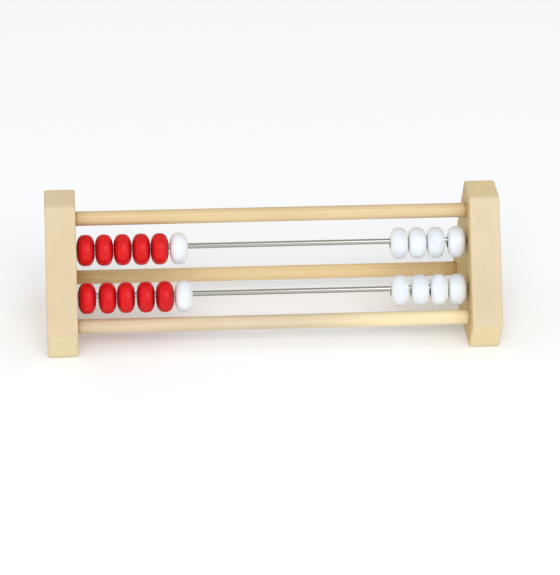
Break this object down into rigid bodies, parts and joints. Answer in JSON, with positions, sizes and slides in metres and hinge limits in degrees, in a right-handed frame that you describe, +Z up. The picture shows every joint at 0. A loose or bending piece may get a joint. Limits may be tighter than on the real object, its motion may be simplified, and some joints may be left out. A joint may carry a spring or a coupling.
{
  "type": "bead abacus",
  "caption": "Wooden arithmetic rack: two cut-triangle end blocks joined by dowels, with two steel rods of sliding red and white beads.",
  "frame": {"origin": "on the table, under the middle of the rack", "axes": "+X along the rods to the user's right, -Y the front, where the bead rows lean back from the user, +Z up"},
  "size_m": [0.266, 0.0978, 0.0857],
  "materials": {
    "end_block_wood": "pale close-grained hardwood, sanded and lightly sealed",
    "dowel_wood": "pale hardwood dowel, sealed, warmer than the blocks",
    "rod_steel": "bright drawn steel wire rod",
    "red_paint": "turned wood under satin red paint",
    "white_paint": "turned wood under satin white paint"
  },
  "bodies": {
    "frame": {"left_end_block": "end_block_wood", "right_end_block": "end_block_wood", "top_dowel": "dowel_wood", "front_dowel": "dowel_wood", "back_dowel": "dowel_wood", "upper_rod": "rod_steel", "lower_rod": "rod_steel"},
    "upper_red_bead_1": {"upper_red_bead_1": "red_paint"},
    "upper_red_bead_2": {"upper_red_bead_2": "red_paint"},
    "upper_red_bead_3": {"upper_red_bead_3": "red_paint"},
    "upper_red_bead_4": {"upper_red_bead_4": "red_paint"},
    "upper_red_bead_5": {"upper_red_bead_5": "red_paint"},
    "upper_white_bead_1": {"upper_white_bead_1": "white_paint"},
    "upper_white_bead_2": {"upper_white_bead_2": "white_paint"},
    "upper_white_bead_3": {"upper_white_bead_3": "white_paint"},
    "upper_white_bead_4": {"upper_white_bead_4": "white_paint"},
    "upper_white_bead_5": {"upper_white_bead_5": "white_paint"},
    "lower_red_bead_1": {"lower_red_bead_1": "red_paint"},
    "lower_red_bead_2": {"lower_red_bead_2": "red_paint"},
    "lower_red_bead_3": {"lower_red_bead_3": "red_paint"},
    "lower_red_bead_4": {"lower_red_bead_4": "red_paint"},
    "lower_red_bead_5": {"lower_red_bead_5": "red_paint"},
    "lower_white_bead_1": {"lower_white_bead_1": "white_paint"},
    "lower_white_bead_2": {"lower_white_bead_2": "white_paint"},
    "lower_white_bead_3": {"lower_white_bead_3": "white_paint"},
    "lower_white_bead_4": {"lower_white_bead_4": "white_paint"},
    "lower_white_bead_5": {"lower_white_bead_5": "white_paint"}
  },
  "joints": [
    {"name": "upper_red_bead_1_slide", "type": "slide", "parent": "frame", "child": "upper_red_bead_1", "axis": [-1, 0, 0], "range_m": [-0.0129, 0.0001]},
    {"name": "upper_red_bead_2_slide", "type": "slide", "parent": "upper_red_bead_1", "child": "upper_red_bead_2", "axis": [-1, 0, 0], "range_m": [-0.0129, 0.0001]},
    {"name": "upper_red_bead_3_slide", "type": "slide", "parent": "upper_red_bead_2", "child": "upper_red_bead_3", "axis": [-1, 0, 0], "range_m": [-0.0129, 0.0001]},
    {"name": "upper_red_bead_4_slide", "type": "slide", "parent": "upper_red_bead_3", "child": "upper_red_bead_4", "axis": [-1, 0, 0], "range_m": [-0.0129, 0.0002]},
    {"name": "upper_red_bead_5_slide", "type": "slide", "parent": "upper_red_bead_4", "child": "upper_red_bead_5", "axis": [-1, 0, 0], "range_m": [-0.0129, 0.0001]},
    {"name": "upper_white_bead_1_slide", "type": "slide", "parent": "upper_red_bead_5", "child": "upper_white_bead_1", "axis": [1, 0, 0], "range_m": [-0.0005, 0.1188]},
    {"name": "upper_white_bead_5_slide", "type": "slide", "parent": "frame", "child": "upper_white_bead_5", "axis": [1, 0, 0], "range_m": [-0.0129, 0.001]},
    {"name": "upper_white_bead_4_slide", "type": "slide", "parent": "upper_white_bead_5", "child": "upper_white_bead_4", "axis": [1, 0, 0], "range_m": [-0.0129, 0.0015]},
    {"name": "upper_white_bead_3_slide", "type": "slide", "parent": "upper_white_bead_4", "child": "upper_white_bead_3", "axis": [1, 0, 0], "range_m": [-0.0129, 0.0002]},
    {"name": "upper_white_bead_2_slide", "type": "slide", "parent": "upper_white_bead_3", "child": "upper_white_bead_2", "axis": [1, 0, 0], "range_m": [-0.0129, 0.0001]},
    {"name": "lower_red_bead_1_slide", "type": "slide", "parent": "frame", "child": "lower_red_bead_1", "axis": [-1, 0, 0], "range_m": [-0.0129, 0.0003]},
    {"name": "lower_red_bead_2_slide", "type": "slide", "parent": "lower_red_bead_1", "child": "lower_red_bead_2", "axis": [-1, 0, 0], "range_m": [-0.0129, 0.0012]},
    {"name": "lower_red_bead_3_slide", "type": "slide", "parent": "lower_red_bead_2", "child": "lower_red_bead_3", "axis": [-1, 0, 0], "range_m": [-0.0129, 0.0001]},
    {"name": "lower_red_bead_4_slide", "type": "slide", "parent": "lower_red_bead_3", "child": "lower_red_bead_4", "axis": [-1, 0, 0], "range_m": [-0.0129, 0.0009]},
    {"name": "lower_red_bead_5_slide", "type": "slide", "parent": "lower_red_bead_4", "child": "lower_red_bead_5", "axis": [-1, 0, 0], "range_m": [-0.0129, 0.0005]},
    {"name": "lower_white_bead_1_slide", "type": "slide", "parent": "lower_red_bead_5", "child": "lower_white_bead_1", "axis": [1, 0, 0], "range_m": [-0.0003, 0.1163]},
    {"name": "lower_white_bead_5_slide", "type": "slide", "parent": "frame", "child": "lower_white_bead_5", "axis": [1, 0, 0], "range_m": [-0.0129, 0.0011]},
    {"name": "lower_white_bead_4_slide", "type": "slide", "parent": "lower_white_bead_5", "child": "lower_white_bead_4", "axis": [1, 0, 0], "range_m": [-0.0129, 0.0002]},
    {"name": "lower_white_bead_3_slide", "type": "slide", "parent": "lower_white_bead_4", "child": "lower_white_bead_3", "axis": [1, 0, 0], "range_m": [-0.0129, 0.0006]},
    {"name": "lower_white_bead_2_slide", "type": "slide", "parent": "lower_white_bead_3", "child": "lower_white_bead_2", "axis": [1, 0, 0], "range_m": [-0.0129, 0.0012]}
  ]
}
